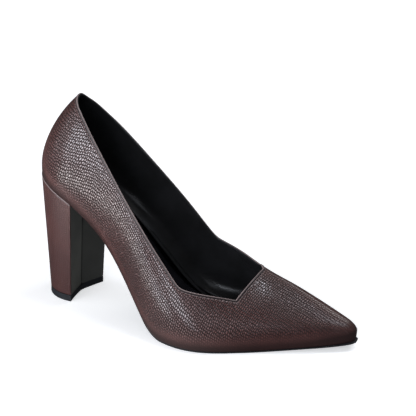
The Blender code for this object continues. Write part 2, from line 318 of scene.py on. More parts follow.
# Painted shade in the stitch groove, with where it starts and ends
GROOVE_SHADE_TONE = (0.008, 0.004, 0.004)
GROOVE_SHADE_PART = 0.9
GROOVE_SHADE_START = (0.85, 1.15)
GROOVE_SHADE_END = (2.2, 1.8)
# Painted highlight along the folded edge, with where it fades out
FOLD_HIGHLIGHT_TONE = (0.31, 0.24, 0.23)
FOLD_HIGHLIGHT_PART = 0.9
FOLD_HIGHLIGHT_END = (0.85, 0.35)
# The gloss is a coat on the raised cells, rubbed off where the leather is pulled
LEATHER_ROUGHNESS = 0.32
CREVICE_ROUGHNESS = 0.2
PULLED_ROUGHNESS = 0.2
LEATHER_SPECULAR = 0.3
COAT_POWER = 2.0
COAT_LOSS = 0.88
COAT_ROUGHNESS = 0.27
COAT_IOR = 2.05

# Plain finishes: material, two tones, roughness, fineness and depth of the surface, specular level
PLAIN_FINISHES = {
    "thread": ("brown_thread", (0.16, 0.11, 0.105), (0.21, 0.15, 0.145), 0.5, 4000.0, 0.05, 0.5),
    "seam": ("pale_seam", (0.22, 0.165, 0.16), (0.30, 0.235, 0.23), 0.45, 1500.0, 0.05, 0.5),
    "lining": ("black_lining", (0.016, 0.016, 0.0165), (0.022, 0.022, 0.0235), 0.22, 1800.0, 0.02, 0.2),
    "footbed": ("black_footbed", (0.006, 0.006, 0.007), (0.010, 0.010, 0.012), 0.24, 900.0, 0.03, 0.2),
    "sole": ("black_sole", (0.010, 0.010, 0.012), (0.016, 0.016, 0.018), 0.5, 1500.0, 0.05, 0.5),
    "breast": ("black_breast", (0.122, 0.122, 0.108), (0.150, 0.150, 0.134), 0.5, 1600.0, 0.05, 0.5),
    "rubber": ("black_rubber", (0.009, 0.010, 0.012), (0.015, 0.017, 0.020), 0.55, 1300.0, 0.06, 0.5),
}
SHADED_TONE = (0.004, 0.004, 0.004)
FINISH_MOTTLE = (0.3, 0.7)
FINISH_NOISE = (60.0, 3.0)
FINISH_DETAIL = 3.0
FINISH_RELIEF = 0.6
ROUGHNESS_CHANGE = 0.12

# The photograph's view: where the lens stands, its roll, its aim in the shoe's axes and its focal length
VIEW_AZIMUTH = 20.257
VIEW_ELEVATION = 24.606
VIEW_ROLL = 3.29
VIEW_DISTANCE = 886.307
VIEW_AIM = (125.091, 0.0, 86.508)
FOCAL_PIXELS = 1300.0
PHOTO_PIXELS = 416.0
SENSOR_WIDTH = 36.0

# Paper floor, in metres: tones for the camera and for other rays, and the glow that the camera sees
FLOOR_HALF = 6
PAPER_TONES = ((0.94, 0.94, 0.94), (0.96, 0.96, 0.96))
PAPER_NOISE = (3.0, 2.0)
UNLIT_PAPER = (0.16, 0.16, 0.165)
PAPER_ROUGHNESS = 0.9
PAPER_SPECULAR = 0.1
GLOW = 0.46
GLOW_GAIN = 0.35
GLOW_RUN = (0.2, 0.9)
# Light that the paper gives the shoe: a weak strip in front, and patches by place, reach, core and strength
STRIP_X = (0.05, -0.03)
STRIP_Y = (0.0, -0.08)
STRIP_STRENGTH = 0.10
FLOOR_PATCHES = [
    ((-0.25, -0.38, 0), 0.20, 0.08, 10.0),
    ((-0.19, -0.19, 0), 0.14, 0.05, 0.9),
    ((-0.01, -0.14, 0), 0.14, 0.05, 0.7),
]
# Soft lights: direction from the shoe, distance, width and height in metres, watts, colour
LIGHT_AIM = (0, 0, 0.05)
SOFTBOXES = {
    "key": ((-0.70, -0.68, 0.22), 1.2, (1.4, 1.0), 9.5, (0.90, 0.94, 1.0)),
    "front_left": ((-0.44, -0.88, 0.16), 1.0, (0.45, 0.40), 4.2, (0.86, 0.91, 1.0)),
    "front": ((0.066, -0.937, 0.342), 1.2, (0.40, 0.40), 4.9, (0.86, 0.91, 1.0)),
    "front_right": ((0.41, -0.709, 0.574), 1.2, (0.40, 0.30), 0.6, (0.86, 0.91, 1.0)),
    "overhead": ((0.22, 0.05, 0.97), 1.1, (0.20, 0.20), 2.2, (0.84, 0.90, 1.0)),
    "sky": ((0.1, 0.05, 0.99), 1.3, (1.6, 1.2), 4.2, (1.0, 1.0, 1.0)),
    "behind": ((0.32, 0.72, 0.616), 1.1, (0.5, 0.3), 2.0, (1.0, 1.0, 1.0)),
    "right_back": ((0.56, 0.25, 0.79), 1.2, (0.40, 0.30), 1.4, (0.86, 0.92, 1.0)),
}
SURROUND_STRENGTH = 0.05


def spline(x_rows, y_rows, x, level_start=False):
    """Natural cubic curve through the rows, or one that starts level."""
    step = np.diff(x_rows)
    slope = np.diff(y_rows) / step
    count = len(x_rows)
    system = np.eye(count)
    change = np.zeros(count)
    for i in range(1, count - 1):
        system[i, i - 1 : i + 2] = step[i - 1], 2 * (step[i - 1] + step[i]), step[i]
        change[i] = 6 * (slope[i] - slope[i - 1])
    if level_start:
        system[0, :2] = 2 * step[0], step[0]
        change[0] = 6 * slope[0]
    bend = np.linalg.solve(system, change)
    x = np.clip(x, x_rows[0], x_rows[-1])
    i = np.clip(np.searchsorted(x_rows, x) - 1, 0, count - 2)
    left = x - x_rows[i]
    right = x_rows[i + 1] - x
    cubic = (bend[i] * right**3 + bend[i + 1] * left**3) / (6 * step[i])
    start = (y_rows[i] / step[i] - bend[i] * step[i] / 6) * right
    end = (y_rows[i + 1] / step[i] - bend[i + 1] * step[i] / 6) * left
    return cubic + start + end


def side_column(rows, side, x):
    """A column that has its own values on the lateral and the medial side."""
    return spline(rows["x"], rows["lateral" if side == LATERAL else "medial"], x)


def fade(x, start, end):
    """1 before start, 0 after end, smooth between."""
    step = np.clip((x - start) / (end - start), 0, 1)
    return 1 - step * step * (3 - 2 * step)


def edge(side, station, grow):
    """Plan place of the feather edge moved outwards by grow; stations behind the heel centre go round."""
    turn = np.clip(1 - station / HEEL_CENTRE, 0, 1)
    along = np.clip(station, HEEL_CENTRE, LENGTH)
    axis = spline(FEATHER["x"], FEATHER["axis"], along, level_start=True)
    squared = spline(FEATHER["x"], FEATHER["half"] ** 2, along, level_start=True)
    half = np.sqrt(np.maximum(squared, 0))
    half = half + grow * half / (half + EDGE_SOFTENING)
    toe = 1 - fade(along, LENGTH - TOE_RUN, LENGTH)
    x = along - (HEEL_REACH + grow) * turn + grow * toe
    y = axis + side * half * np.sqrt(1 - turn**2)
    return x, y


def seat(x, y):
    """Height of the shoe's bottom, level across the tread and tilted across the arch."""
    along = np.clip(x, HEEL_CENTRE, LENGTH - TIP_STOP)
    lateral = edge(LATERAL, along, 0)[1]
    medial = edge(MEDIAL, along, 0)[1]
    across = np.clip((y - lateral) / (medial - lateral), 0, 1)
    low = np.maximum(side_column(SEAT, LATERAL, x), TREAD)
    high = np.maximum(side_column(SEAT, MEDIAL, x), TREAD)
    return low + (high - low) * across


def slanted(side, station):
    """Where a rib's foot stands: the lateral end lags and the medial end leads, as the ball line slants."""
    part = np.clip((station - HEEL_CENTRE) / (LENGTH - HEEL_CENTRE), 0, 1)
    return station + side * RIB_SKEW[side] * np.sin(np.pi * part) ** 2


def topline(side, x, y):
    """Height of the top edge: level at the centre back, then the quarter, rounded into the throat side."""
    quarter = side_column(QUARTER, side, x)
    back = fade(abs(y), 0, COLLAR_BLEND) * fade(x, HEEL_CENTRE, 2 * HEEL_CENTRE)
    quarter = quarter + (COLLAR_TOP - quarter) * back
    rows = THROAT_SIDE["lateral" if side == LATERAL else "medial"]
    run = (x - THROAT_SIDE["x"][0]) / (THROAT_SIDE["x"][1] - THROAT_SIDE["x"][0])
    throat = rows[0] + (rows[1] - rows[0]) * run
    return 0.5 * (quarter + throat + np.sqrt((quarter - throat) ** 2 + CORNER_ROUNDING**2))


def bowed(side, stations, part):
    """Stations near the throat, from its corner (0) to the crest (1), moved to make it straight."""
    shift = THROAT_BOW * np.sin(part * np.pi) - THROAT_LAG * part - CORNER_LAG[side] * (1 - part)
    behind = 1 - fade(stations, THROAT_X - LAG_RUN, THROAT_X)
    return stations + shift * behind * fade(stations, THROAT_X, THROAT_X + BOW_RUN)


class Rib:
    """Half sections of the last on one side: feather edge, widest line and crest at each station."""

    def __init__(self, side, stations):
        place = slanted(side, stations)
        self.side = side
        self.foot = edge(side, place, 0)
        self.foot_z = seat(*self.foot)
        self.wide = edge(side, place, side_column(BULGE, side, place))
        self.wide_z = self.foot_z + spline(BULGE["x"], BULGE["rise"], place)
        ridge = np.maximum(stations, HEEL_CENTRE)
        self.crest = ridge, spline(CREST["x"], CREST["y"], ridge)
        nose = np.clip((ridge - LENGTH + TOE_ROUNDING) / TOE_ROUNDING, 0, 1)
        height = spline(CREST["x"], CREST["z"], ridge) - self.wide_z
        self.height = height * np.sqrt(1 - nose**2)
        self.power = 2 / spline(CREST["x"], CREST["fullness"], ridge)
        self.lean = COUNTER_LEAN * fade(stations, *LEAN_FADE)

    def below(self, part):
        """Points from the feather edge (0) to the widest line (1)."""
        angle = part * np.pi / 2
        x, y = (f + (w - f) * np.sin(angle) for f, w in zip(self.foot, self.wide))
        return np.stack([x, y, self.foot_z + (self.wide_z - self.foot_z) * (1 - np.cos(angle))], -1)

    def above(self, angle):
        """Points from the widest line (angle 0) to the crest (a quarter turn)."""
        inward = 1 - np.cos(angle) ** self.power
        rise = self.height * np.sin(angle) ** self.power
        x, y = (w + (c - w) * inward for w, c in zip(self.wide, self.crest))
        return np.stack([x + self.lean * rise**LEAN_POWER, y, self.wide_z + rise], -1)

    def top_angle(self):
        """Angle at which each rib meets the topline."""
        angle = np.full_like(self.height, np.pi / 4)
        for _ in range(TOPLINE_STEPS):
            point = self.above(angle)
            rise = topline(self.side, point[:, 0], point[:, 1]) - self.wide_z
            part = np.clip(rise / self.height, *TOPLINE_RANGE)
            angle = 0.5 * (angle + np.arcsin(part ** (1 / self.power)))
        return angle


def placed(points):
    """Shoe millimetres to metres in the row frame."""
    return (np.asarray(points) + COUNTER_BACK) * MM


def grid_sheet(points, skip=None):
    """A sheet with a vertex at each of points[row, column]; cells marked in skip stay open."""
    rows, columns = points.shape[:2]
    work = bmesh.new()
    row_of = work.verts.layers.int.new("row")
    column_of = work.verts.layers.int.new("column")
    bmesh.ops.create_grid(work, x_segments=columns - 1, y_segments=rows - 1, size=0.5)
    spots = placed(points)
    for vert in work.verts:
        row = round((vert.co.y + 0.5) * (rows - 1))
        column = round((vert.co.x + 0.5) * (columns - 1))
        vert[row_of] = row
        vert[column_of] = column
        vert.co = spots[row, column]
    if skip is not None:
        open_faces = [
            face for face in work.faces
            if skip[min(v[row_of] for v in face.verts), min(v[column_of] for v in face.verts)]
        ]
        bmesh.ops.delete(work, geom=open_faces, context="FACES")
    return work


def row_and_column(work):
    """Layers that hold the row and the column of each vertex of a sheet."""
    layers = work.verts.layers.int
    return layers["row"], layers["column"]


def lengths_along(path):
    """Length from the start of a path to each of its points."""
    return np.concatenate([[0], np.linalg.norm(np.diff(path, axis=0), axis=1).cumsum()])


def block_between(bottom, top):
    """Closed solid between two grids of points with the same rows and columns."""
    work = grid_sheet(bottom)
    row_of, column_of = row_and_column(work)
    raised = bmesh.ops.extrude_face_region(work, geom=work.faces[:], use_keep_orig=True)
    spots = placed(top)
    for item in raised["geom"]:
        if isinstance(item, bmesh.types.BMVert):
            item.co = spots[item[row_of], item[column_of]]
    bmesh.ops.recalc_face_normals(work, faces=work.faces)
    return work


def add_piece(name, work, finish, stands_for):
    """One piece of the shoe from its bmesh, riding on the root body."""
    mesh = bpy.data.meshes.new(name)
    for layer in ("row", "column"):
        if layer in work.verts.layers.int:
            work.verts.layers.int.remove(work.verts.layers.int[layer])
    work.to_mesh(mesh)
    work.free()
    mesh.materials.append(finish)
    mesh.shade_smooth()
    mesh.set_sharp_from_angle(angle=SHARP_ANGLE)
    piece = bpy.data.objects.new(name, mesh)
    bpy.context.scene.collection.objects.link(piece)
    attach(piece, "root")
    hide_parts(stands_for)
    return piece


def thicken(piece, millimetres):
    """Gives a sheet its thickness, inwards from the side that shows."""
    wall = piece.modifiers.new("thickness", "SOLIDIFY")
    wall.thickness = millimetres * MM
    wall.offset = -1


def round_edges(piece, millimetres):
    """Rounds a piece's sharp edges a little."""
    rounding = piece.modifiers.new("rounding", "BEVEL")
    rounding.width = millimetres * MM
    rounding.segments = ROUNDING_STEPS
    rounding.limit_method = "ANGLE"
    rounding.angle_limit = SHARP_ANGLE


def upper_stations():
    """Rib stations round the heel, along the quarters, close together at the throat, and on to the tip."""
    heel = HEEL_CENTRE * (1 - np.cos(np.linspace(0, np.pi / 2, BACK_RIBS)))
    quarter = np.linspace(HEEL_CENTRE, THROAT_X, QUARTER_RIBS)[1:-1]
    throat = THROAT_X + EDGE_ROWS
    run = np.linspace(1, 0, VAMP_RIBS)[1:] ** VAMP_CROWDING
    tip = LENGTH - TIP_STOP
    return np.concatenate([heel, quarter, throat, tip - (tip - throat[-1]) * run])


class UpperGrid:
    """The upper's points by station and column, from the lateral feather edge over the crest to the medial.

    A side has columns below its widest line, above it up to the topline, and over the vamp to the crest.
    """

    below, above, over = 10, 22, 22

    def __init__(self):
        self.stations = upper_stations()
        self.throat = int(np.argmin(abs(self.stations - THROAT_X - EDGE_ROWS[0])))
        halves = [self.half(side) for side in (LATERAL, MEDIAL)]
        self.points = np.concatenate([halves[0], halves[1][:, -2::-1]], 1)
        self.last_column = self.points.shape[1] - 1
        self.crest_column = self.last_column // 2
        self.edge_column = self.crest_column - self.over
        tip = 0.5 * (self.points[-1] + self.points[-1, ::-1])
        self.points[-1] = tip
        columns = np.arange(self.last_column)
        between = (columns >= self.edge_column) & (columns < self.last_column - self.edge_column)
        rows = np.arange(len(self.stations) - 1)
        self.open_cells = (rows < self.throat)[:, None] & between[None, :]

    def half(self, side):
        """Points of one side, station by station, from the feather edge to the crest."""
        rib = Rib(side, bowed(side, self.stations, 0))
        top = rib.top_angle()
        top[self.throat :] = top[self.throat]
        part = np.linspace(0, 1, ARC_STEPS)
        arc = np.stack([rib.above(p * top) for p in part])
        climb = np.cumsum(np.linalg.norm(np.diff(arc, axis=0), axis=2), 0)
        climb = np.concatenate([np.zeros((1, climb.shape[1])), climb])
        along = np.gradient(arc[-1], axis=0)
        up = arc[-1] - arc[-2]
        slant = np.linalg.norm(np.cross(along, up), axis=1)
        slant = slant / (np.linalg.norm(along, axis=1) * np.linalg.norm(up, axis=1))
        slant[self.throat :] = slant[self.throat]
        slant = np.clip(slant, *SLANT_RANGE)
        columns = [rib.below(p) for p in np.linspace(0, 1, self.below, endpoint=False)]
        edge_rows = len(EDGE_ROWS)
        angles = np.empty((self.above, len(self.stations)))
        for i in range(len(self.stations)):
            total = climb[-1, i]
            room = min(1, EDGE_ROOM * total * slant[i] / EDGE_ROWS[-1])
            down = EDGE_ROWS * room / slant[i]
            plain = np.linspace(total, down[-1], self.above - edge_rows, endpoint=False)
            down = np.concatenate([plain, down[::-1]])
            angles[:, i] = top[i] * np.interp(total - down, climb[:, i], part)
        columns += [rib.above(angle) for angle in angles]
        rest = np.linspace(0, 1, self.over + 1)[1:]
        turns = [angles[-1] + p * (np.pi / 2 - angles[-1]) for p in rest]
        columns += [Rib(side, bowed(side, self.stations, p)).above(turn) for p, turn in zip(rest, turns)]
        return np.stack(columns, 1)

    def cut(self):
        """Flat pattern lengths in millimetres: along the foot, and down from the crest."""
        along = np.linalg.norm(np.diff(self.points, axis=0), axis=2).cumsum(0)
        along = np.concatenate([np.zeros((1, along.shape[1])), along])
        along = along - along[self.throat]
        round_rib = np.linalg.norm(np.diff(self.points, axis=1), axis=2)
        down = np.zeros(self.points.shape[:2])
        middle = self.crest_column
        down[:, middle + 1 :] = round_rib[:, middle:].cumsum(1)
        down[:, :middle] = round_rib[:, :middle][:, ::-1].cumsum(1)[:, ::-1]
        return along, down

    def edge_path(self, inset):
        """Row and column pairs along the topline, inset by some edge rows, from the back round and back."""
        left = self.edge_column - inset
        right = self.last_column - left
        turn = self.throat + inset
        path = [(row, left) for row in range(turn)]
        path += [(turn, column) for column in range(left, right)]
        return path + [(row, right) for row in range(turn, -1, -1)]


def crease_depth(point, normal):
    """How far a point of the upper is pushed in by the soft creases, less where it faces up."""
    side = LATERAL if normal[1] < 0 else MEDIAL
    depth = 0.0
    for i in np.flatnonzero(CREASES["side"] == side):
        start = np.array([CREASES["from_x"][i], CREASES["from_z"][i]])
        run = np.array([CREASES["to_x"][i], CREASES["to_z"][i]]) - start
        away = np.array([point[0], point[2]]) - start
        part = np.clip(away @ run / (run @ run), 0, 1)
        gap = np.linalg.norm(away - part * run)
        depth += CREASES["depth"][i] * np.sin(np.pi * part) * np.exp(-((gap / CREASES["width"][i]) ** 2))
    return depth * min(1.0, abs(normal[1]) / CREASE_FACING)


def roll_edge(work, loop, angles, radius, cut_layer=None):
    """Extrudes the topline's open edges round a small circle: the leather's fold or the lining's."""
    frames = {}
    for item in {vert for side in loop for vert in side.verts}:
        outward = Vector()
        for side in item.link_edges:
            if side in loop:
                face = side.link_faces[0]
                away = face.normal.cross(side.verts[1].co - side.verts[0].co).normalized()
                middle = (side.verts[0].co + side.verts[1].co) / 2
                outward += away if away.dot(middle - face.calc_center_median()) > 0 else -away
        start = item[cut_layer].copy() if cut_layer else None
        frames[item] = (item.co.copy(), item.normal.copy(), outward.normalized(), start)
    edges = loop
    origin = {vert: vert for vert in frames}
    for angle in angles:
        made = bmesh.ops.extrude_edge_only(work, edges=edges)
        new_verts = [item for item in made["geom"] if isinstance(item, bmesh.types.BMVert)]
        edges = [item for item in made["geom"] if isinstance(item, bmesh.types.BMEdge)]
        moved = {}
        for vert in new_verts:
            old = next(e.other_vert(vert) for e in vert.link_edges if e.other_vert(vert) in origin)
            moved[vert] = origin[old]
            place, normal, outward, start = frames[origin[old]]
            turn = np.radians(angle)
            swing = normal * (np.cos(turn) - 1) + outward * np.sin(turn)
            vert.co = place + swing * (radius * MM)
            if cut_layer:
                vert[cut_layer] = start - Vector((0, radius * turn, radius * turn))
        origin = moved
        edges = [e for e in edges if all(v in moved for v in e.verts)]


def outward_sheet(work):
    """Turns the whole sheet so that its furthest point to the lateral side faces outwards."""
    lateral = Vector((0, -1, 0))
    work.normal_update()
    furthest = max(work.verts, key=lambda v: v.co.dot(lateral))
    if furthest.normal.dot(lateral) < 0:
        bmesh.ops.reverse_faces(work, faces=work.faces[:])
        work.normal_update()


def rim_edges(work, rim):
    """Open edges of a sheet along the topline."""
    row_of, column_of = row_and_column(work)
    on_rim = set(rim)
    return [
        e for e in work.edges
        if e.is_boundary and all((v[row_of], v[column_of]) in on_rim for v in e.verts)
    ]


def foot_edges(work, last_column):
    """Open edges of a sheet along the lateral and the medial feather edge."""
    column_of = work.verts.layers.int["column"]
    ends = (0, last_column)
    return [e for e in work.edges if e.is_boundary and all(v[column_of] in ends for v in e.verts)]


def rim_tree(grid, rim):
    """Search tree of close points along the topline."""
    count = RIM_STEPS * len(rim)
    rim_points = np.array([grid.points[spot] for spot in rim])
    steps = np.linspace(0, len(rim) - 1, count)
    fine = np.stack([np.interp(steps, np.arange(len(rim)), rim_points[:, i]) for i in range(3)], 1)
    tree = KDTree(count)
    for i, point in enumerate(fine):
        tree.insert(point, i)
    tree.balance()
    return tree


def pull(grid, spot, distance):
    """How smooth the leather is pulled at a spot, from 0 to 1; distance is that from the topline."""
    row, column = spot
    x, y, z = grid.points[spot]
    foot = grid.points[row, 0 if column < grid.crest_column else -1, 2]
    past_crest = y - grid.points[row, grid.crest_column, 1]
    on_crest = (1 - fade(past_crest, *CREST_LATERAL)) * fade(past_crest, *CREST_MEDIAL)
    stretch = fade(z - foot, *FOOT_SMOOTH)
    stretch += TOE_PULL * (1 - fade(x, *TOE_SMOOTH)) + BACK_PULL * fade(x, *BACK_SMOOTH)
    stretch += CREST_PULL * on_crest * (1 - fade(x, *VAMP_START))
    return min(1.0, stretch + fade(distance, *FOLD_SMOOTH))


def make_leather(grid, rim, finish):
    """Leather sheet with its creases and folded topline.

    Gives back the normals of the plain shape, and each spot's finished place and normal.
    """
    work = grid_sheet(grid.points, grid.open_cells)
    row_of, column_of = row_and_column(work)
    cut = work.verts.layers.float_vector.new("cut")
    pulled = work.verts.layers.float.new("pulled")
    along, down = grid.cut()
    for vert in work.verts:
        spot = (vert[row_of], vert[column_of])
        vert[cut] = Vector((along[spot], down[spot], 0))
    outward_sheet(work)
    normals = np.zeros_like(grid.points)
    for vert in work.verts:
        normals[vert[row_of], vert[column_of]] = vert.normal
    bmesh.ops.remove_doubles(work, verts=work.verts, dist=LEATHER_MERGE * MM)
    work.normal_update()
    tree = rim_tree(grid, rim)
    for vert in work.verts:
        spot = (vert[row_of], vert[column_of])
        distance = tree.find(grid.points[spot])[2] + FOLD_RADIUS
        raise_by = FOLD_RISE * fade(distance, FOLD_WIDTH - FOLD_RUN_OUT, FOLD_WIDTH)
        raise_by -= STITCH_GROOVE * np.exp(-(((distance - FOLD_WIDTH) / GROOVE_SPREAD) ** 2))
        raise_by -= crease_depth(grid.points[spot], vert.normal)
        vert[cut] = Vector((vert[cut][0], vert[cut][1], distance))
        vert[pulled] = pull(grid, spot, distance)
        normals[spot] = vert.normal
        vert.co = vert.co + vert.normal * (raise_by * MM)
    work.normal_update()
    spots = {(v[row_of], v[column_of]): (v.co.copy(), v.normal.copy()) for v in work.verts}
    roll_edge(work, rim_edges(work, rim), FOLD_TURNS, FOLD_RADIUS, cut)
    turn_under(work, foot_edges(work, grid.last_column), *LEATHER_MARGIN)
    shell = add_piece("leather_upper", work, finish, "upper")
    thicken(shell, LEATHER_SKIN)
    return normals, spots


def make_lining(grid, rim, normals, finish):
    """Lining inside the leather, curved into the footbed below and rolled to the fold above."""
    above_bed = grid.points[:, :, 2] - seat(grid.points[:, :, 0], grid.points[:, :, 1]) - INSOLE_THICKNESS
    cove = COVE_DEPTH * np.clip(1 - above_bed / COVE_HEIGHT, 0, 1) ** 2
    inner = grid.points - normals * LINING_DEPTH
    inner[:, :, :2] -= (normals * cove[:, :, None])[:, :, :2]
    for end in (-1, 0):
        inner[end] = 0.5 * (inner[end] + inner[end, ::-1])
    work = grid_sheet(inner, grid.open_cells)
    bmesh.ops.remove_doubles(work, verts=work.verts, dist=LINING_MERGE * MM)
    outward_sheet(work)
    loop = rim_edges(work, rim)
    turn_under(work, foot_edges(work, grid.last_column), *LINING_MARGIN)
    bmesh.ops.reverse_faces(work, faces=work.faces[:])
    work.normal_update()
    roll_edge(work, loop, LINING_TURNS, LINING_FOLD_RADIUS)
    skin = add_piece("lining", work, finish, "upper")
    thicken(skin, LINING_SKIN)


def make_upper(finishes):
    """Leather shell, the lining inside it and the row of stitches along its topline."""
    grid = UpperGrid()
    rim = grid.edge_path(0)
    normals, spots = make_leather(grid, rim, finishes["leather"])
    make_lining(grid, rim, normals, finishes["lining"])
    make_stitches(grid, spots, finishes["thread"])


def turn_under(work, foot, margin, drop):
    """The lasting margin: a sheet's lower edge turned in under the foot."""
    made = bmesh.ops.extrude_edge_only(work, edges=foot)
    for vert in [item for item in made["geom"] if isinstance(item, bmesh.types.BMVert)]:
        x, y, _ = np.array(vert.co) / MM - COUNTER_BACK
        middle_x = np.clip(x, HEEL_CENTRE, LENGTH - TOE_RUN)
        middle_y = spline(FEATHER["x"], FEATHER["axis"], middle_x, level_start=True)
        inward = np.array([middle_x - x, middle_y - y])
        reach = np.linalg.norm(inward)
        step = inward / reach * min(margin, MARGIN_PART * reach)
        vert.co += Vector((step[0], step[1], -drop)) * MM


def make_stitches(grid, spots, thread):
    """Short thread dashes in the groove below the folded topline."""
    path = [spots[spot] for spot in grid.edge_path(STITCH_ROW) if spot in spots]
    places = np.array([place for place, _ in path]) / MM
    normals = np.array([normal for _, normal in path])
    reach = lengths_along(places)
    count = int(reach[-1] / STITCH_PITCH)
    work = bmesh.new()
    for i in range(count):
        middle = (i + 0.5) * reach[-1] / count
        ends = middle + np.array([-0.5, 0.5]) * STITCH_LENGTH
        start, end = (np.array([np.interp(at, reach, places[:, k]) for k in range(3)]) for at in ends)
        normal = Vector([np.interp(middle, reach, normals[:, k]) for k in range(3)]).normalized()
        run = Vector(end - start).normalized()
        side = normal.cross(run).normalized()
        turn = Matrix((run, side, normal)).transposed().to_4x4()
        place = Matrix.Translation(Vector((start + end) / 2 * MM) + normal * (STITCH_LIFT * MM))
        scale = Matrix.Diagonal((STITCH_LENGTH / 2 * MM, STITCH_RADIUS * MM, STITCH_RADIUS * MM, 1))
        bmesh.ops.create_uvsphere(
            work, u_segments=STITCH_SIDES, v_segments=STITCH_RINGS, radius=1, matrix=place @ turn @ scale,
        )
    add_piece("topline_stitches", work, thread, "upper")


def bottom_grid(lateral, medial, columns, lift):
    """Points across the shoe's bottom between two edges, raised by lift."""
    across = np.linspace(0, 1, columns)[None, :]
    x, y = (a[:, None] + (b - a)[:, None] * across for a, b in zip(lateral, medial))
    return np.stack([x, y, seat(x, y) + lift], -1)


def make_insole(finish):
    """Footbed filling the bottom of the upper, crowned a little across."""
    heel = HEEL_CENTRE * (1 - np.cos(np.linspace(BACK_FLAT, np.pi / 2, INSOLE_BACK_RIBS)))
    along = np.linspace(HEEL_CENTRE, LENGTH - TOE_RUN, INSOLE_RIBS)[1:]
    toe = LENGTH - TOE_RUN * np.linspace(1, INSOLE_TIP, INSOLE_TOE_RIBS)[1:] ** TIP_CROWDING
    stations = np.concatenate([heel, along, toe])
    lateral, medial = (edge(side, slanted(side, stations), -INSOLE_INSET) for side in (LATERAL, MEDIAL))
    bottom = bottom_grid(lateral, medial, INSOLE_COLUMNS, INSOLE_LIFT)
    top = bottom + (0, 0, INSOLE_THICKNESS - INSOLE_TRIM)
    top[:, :, 2] += (1 - abs(np.linspace(-1, 1, INSOLE_COLUMNS)) ** CROWN_POWER) * INSOLE_CROWN
    piece = add_piece("footbed", block_between(bottom, top), finish, "insole")
    round_edges(piece, INSOLE_ROUNDING)


def breast_hollow(across):
    """Depth of the heel's front face behind its corners; across runs from -1 to 1."""
    return BREAST_DEPTH * (1 - abs(across) ** BREAST_CREASE)


def make_outsole(finish):
    """From the heel breast to the toe: tucked in along the waist, a ledge at the toe."""
    along = np.linspace(SOLE_START_X, LENGTH - TOE_RUN, SOLE_RIBS)
    toe = LENGTH - TOE_RUN * np.linspace(1, 0, SOLE_TOE_RIBS)[1:] ** TIP_CROWDING - TIP_STOP
    stations = np.concatenate([along, toe])
    proud = SOLE_PROUD - (SOLE_PROUD + WAIST_TUCK) * fade(stations, *WAIST_END)
    proud = proud + TOE_LEDGE * (1 - fade(stations, *TOE_END))
    ends = [edge(side, slanted(side, stations), proud) for side in (LATERAL, MEDIAL)]
    for i, side in enumerate((LATERAL, MEDIAL)):
        x, y = edge(side, np.array([BREAST_X[side]]), proud[0])
        ends[i] = np.append(x + GAP, ends[i][0]), np.append(y, ends[i][1])
    top = bottom_grid(*ends, SOLE_COLUMNS, -GAP)
    top[0, :, 0] -= breast_hollow(np.linspace(-1, 1, SOLE_COLUMNS))
    top[0, :, 2] = seat(top[0, :, 0], top[0, :, 1]) - GAP
    work = block_between(top - (0, 0, SOLE_THICKNESS), top)
    piece = add_piece("sole", work, finish, "outsole")
    round_edges(piece, SOLE_ROUNDING)


def heel_run(start, back_steps):
    """Steps round the heel: -1 at the back, 0 at the side, 1 at the breast corner."""
    back = -np.cos(np.linspace(start, np.pi / 2, back_steps))
    return np.concatenate([back, np.linspace(0, 1, HEEL_FRONT_STEPS)[1:]])


def heel_ring(side, run, grow, base):
    """Plan place on the heel's outline, at its base or at the seat."""
    turn = np.clip(-run, 0, 1)
    ahead = np.clip(run, 0, 1)
    if not base:
        station = HEEL_CENTRE * (1 - turn) + (BREAST_X[side] - HEEL_CENTRE) * ahead
        return edge(side, station, grow)
    x = BASE_CENTRE[0] - (BASE_REACH + grow) * turn + (BASE_BREAST_X[side] - BASE_CENTRE[0]) * ahead
    y = BASE_CENTRE[1] + side * (BASE_HALF + grow) * np.sqrt(1 - turn**2)
    return x, y


def heel_grid(grow, base):
    """Plan grid over the heel from its back to the hollow breast."""
    run = heel_run(BACK_FLAT, CORE_BACK_STEPS)
    across = np.linspace(0, 1, HEEL_COLUMNS)[None, :]
    ends = [heel_ring(side, run, grow, base) for side in (LATERAL, MEDIAL)]
    x, y = (a[:, None] + (b - a)[:, None] * across for a, b in zip(*ends))
    x = x - breast_hollow(2 * across - 1) * np.clip(run, 0, 1)[:, None] ** 2
    return x, y


def heel_outline(grow, base):
    """The heel's outline from the lateral breast corner round the back to the medial one."""
    run = heel_run(0, COVER_BACK_STEPS)
    lateral, medial = (heel_ring(side, run, grow, base) for side in (LATERAL, MEDIAL))
    return [np.concatenate([a[::-1], b[1:]]) for a, b in zip(lateral, medial)]


def at_height(plan, z):
    """Points of a plan at a height, or at a height of their own."""
    x, y = plan
    return np.stack([x, y, np.broadcast_to(z, x.shape)], -1)


def make_heel_core(finish):
    """Block with its hollow breast, darker along the crease line and on its medial half."""
    top = heel_grid(CORE_PROUD, base=False)
    low = at_height(heel_grid(CORE_PROUD, base=True), HEEL_BASE)
    work = block_between(low, at_height(top, seat(*top) - GAP))
    column_of = work.verts.layers.int["column"]
    shaded = work.verts.layers.float.new("shaded")
    for vert in work.verts:
        across = vert[column_of] / (HEEL_COLUMNS - 1) - 0.5
        vert[shaded] = max(1.0 - abs(across) / CREASE_LINE, MEDIAL_SHADE if across > 0 else 0.0)
    add_piece("heel_core", work, finish, "heel_block")


